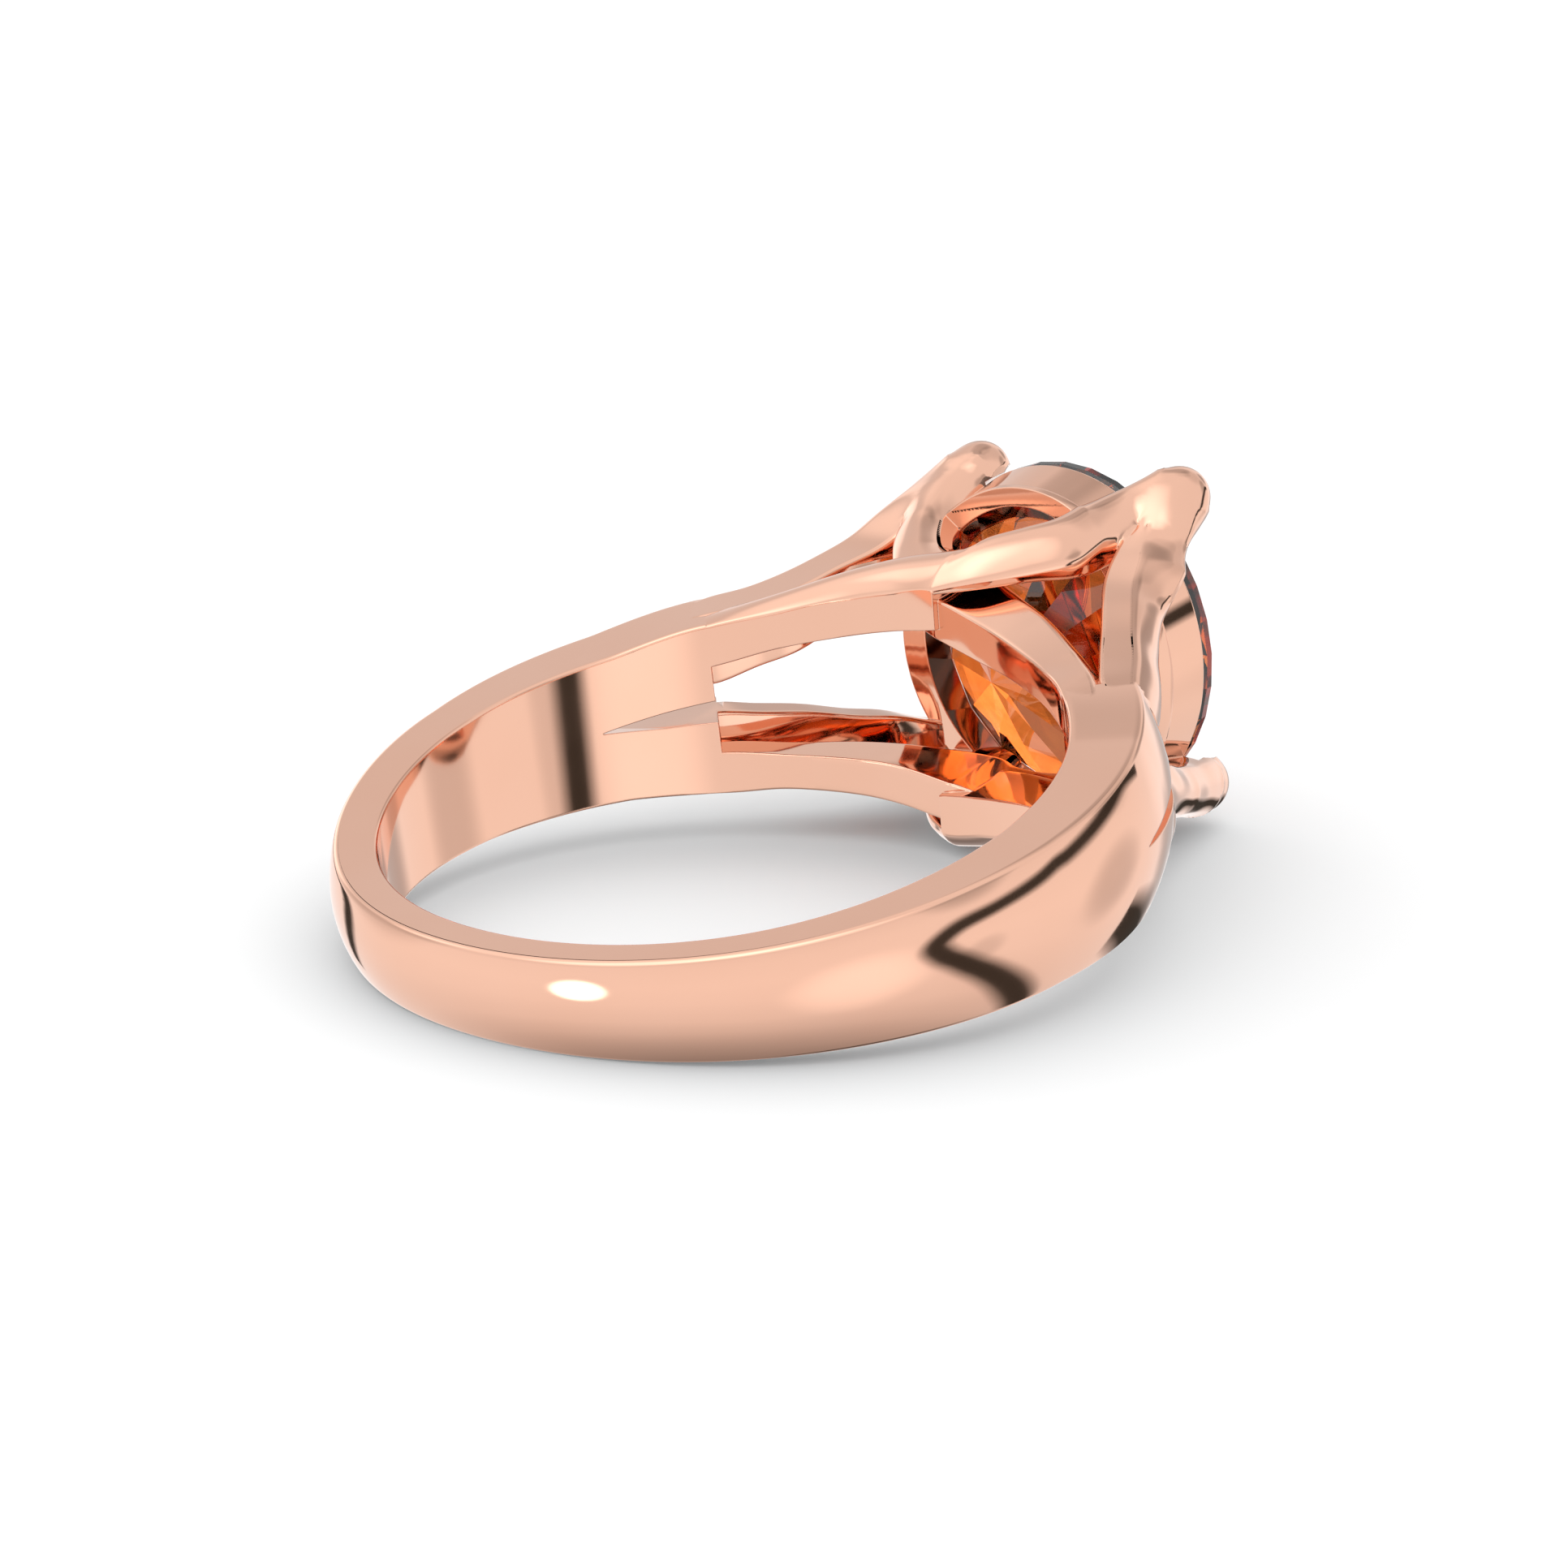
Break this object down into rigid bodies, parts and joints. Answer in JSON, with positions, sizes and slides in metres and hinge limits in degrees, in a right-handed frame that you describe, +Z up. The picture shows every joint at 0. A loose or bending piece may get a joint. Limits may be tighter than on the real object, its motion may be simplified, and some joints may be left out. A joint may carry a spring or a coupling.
{
  "type": "hessonite ring",
  "caption": "Split shank finger ring with crossing strands, four round claws and an oval faceted stone, lying as it rests.",
  "frame": {"origin": "middle of the base of the ring's box, on the floor it lies on", "axes": "+Z up, +Y the way the stone faces and points a little upward, +X across the ring"},
  "size_m": [0.02, 0.0257, 0.01],
  "materials": {
    "rose_gold": "polished",
    "hessonite": "polished"
  },
  "bodies": {
    "root": {"ring_mount": "rose_gold", "stone": "hessonite"}
  },
  "joints": []
}
